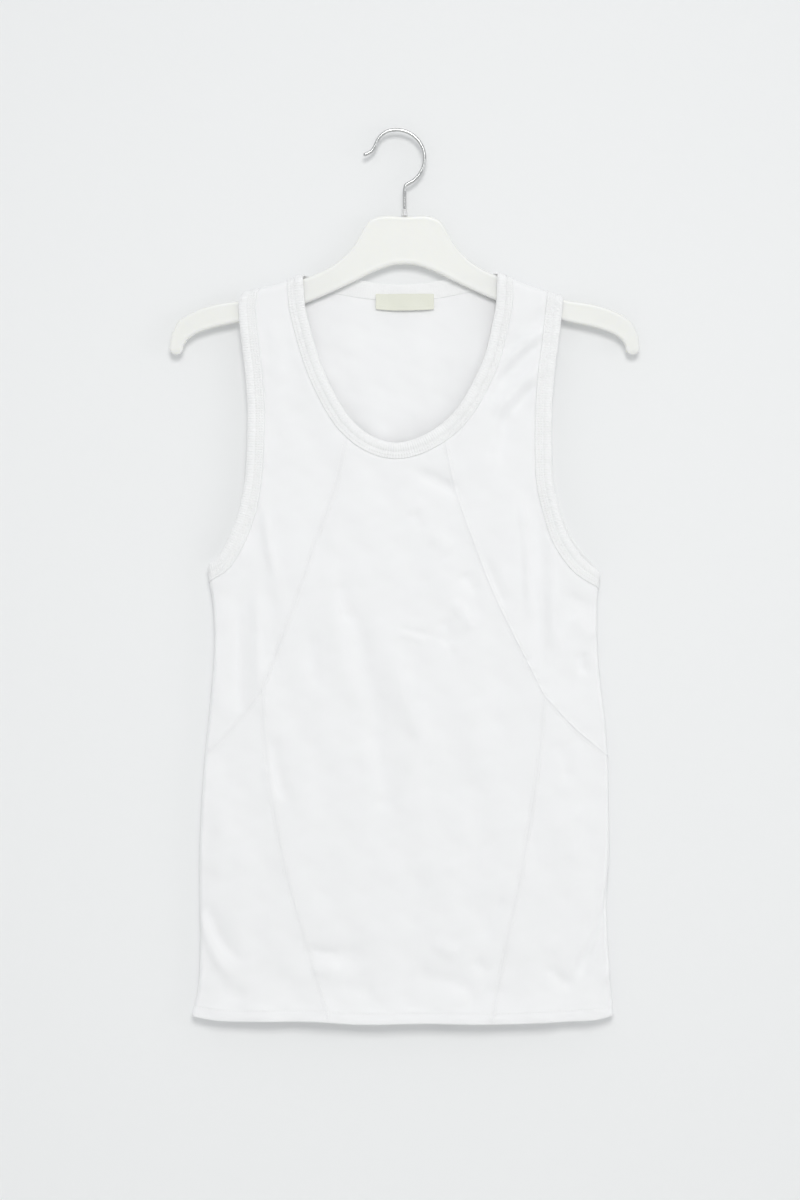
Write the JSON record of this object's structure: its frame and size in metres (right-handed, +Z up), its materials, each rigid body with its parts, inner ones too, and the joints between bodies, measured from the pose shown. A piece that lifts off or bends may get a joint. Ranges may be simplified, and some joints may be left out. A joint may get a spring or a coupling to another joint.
{
  "type": "tank top on a hanger",
  "caption": "Sleeveless tank top with curved front seams and ribbed neck and armhole bindings, hanging flat on a moulded hanger with a wire hook.",
  "frame": {"origin": "inside of the hook's arc at its top, straight above the stem, where a rail or pin carries the hanger", "axes": "+Z up along the hook's stem, +X towards the viewer's right when facing the front, +Y from the front to the back; y = 0 is the hanger's middle plane"},
  "size_m": [0.4194, 0.0172, 0.7991],
  "materials": {
    "jersey": "fine matte cotton jersey",
    "rib": "matte ribbed cotton, ribs across the band",
    "tape": "smooth woven tape, cream, blank",
    "hanger_plastic": "moulded, slightly translucent off-white with a soft gloss",
    "hook_wire": "polished bent wire"
  },
  "bodies": {
    "root": {"front_centre": "jersey", "front_shoulder_left": "jersey", "front_shoulder_right": "jersey", "front_side_left": "jersey", "front_side_right": "jersey", "back": "jersey", "neck_binding": "rib", "armhole_binding_left": "rib", "armhole_binding_right": "rib", "neck_label": "tape", "hanger_body": "hanger_plastic", "hanger_collar": "hanger_plastic", "hanger_hook": "hook_wire"}
  },
  "joints": []
}
